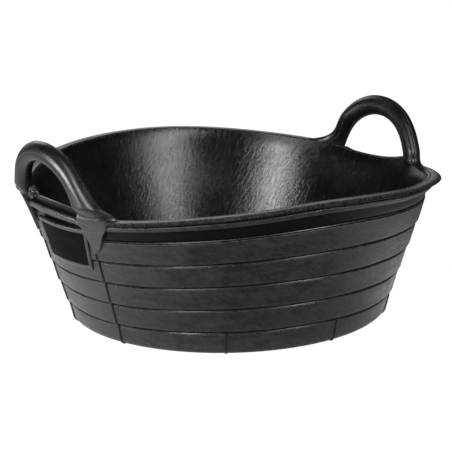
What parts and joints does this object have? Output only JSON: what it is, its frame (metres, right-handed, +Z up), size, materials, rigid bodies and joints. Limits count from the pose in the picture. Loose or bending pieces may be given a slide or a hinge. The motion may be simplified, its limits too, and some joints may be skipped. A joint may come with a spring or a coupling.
{
  "type": "rubber feed tub",
  "caption": "Flexible black rubber feed tub, slightly oval with a dipped rim, a wall of lapped bands, a flared lip and a moulded loop handle at each end.",
  "frame": {"origin": "centre of the flat underside of the floor, on the ground", "axes": "+X through the handles towards the plain end, +Y side to side, +Z up"},
  "size_m": [0.4677, 0.445, 0.213],
  "materials": {
    "wall_rubber": "satin moulded, lightly scuffed",
    "liner_rubber": "smooth semi-gloss, faintly fibrous",
    "handle_rubber": "semi-gloss moulded"
  },
  "bodies": {
    "root": {"floor_sheet": "liner_rubber", "wall_liner": "liner_rubber", "lap_band_1": "wall_rubber", "lap_band_2": "wall_rubber", "lap_band_3": "wall_rubber", "lap_band_4": "wall_rubber", "lap_band_5": "wall_rubber", "rim_course": "wall_rubber", "rim_lip_front": "handle_rubber", "rim_lip_back": "handle_rubber", "handle_left": "handle_rubber", "handle_right": "handle_rubber", "gusset_left_front": "handle_rubber", "gusset_left_back": "handle_rubber", "gusset_right_front": "handle_rubber", "gusset_right_back": "handle_rubber", "badge_plate": "wall_rubber"}
  },
  "joints": []
}
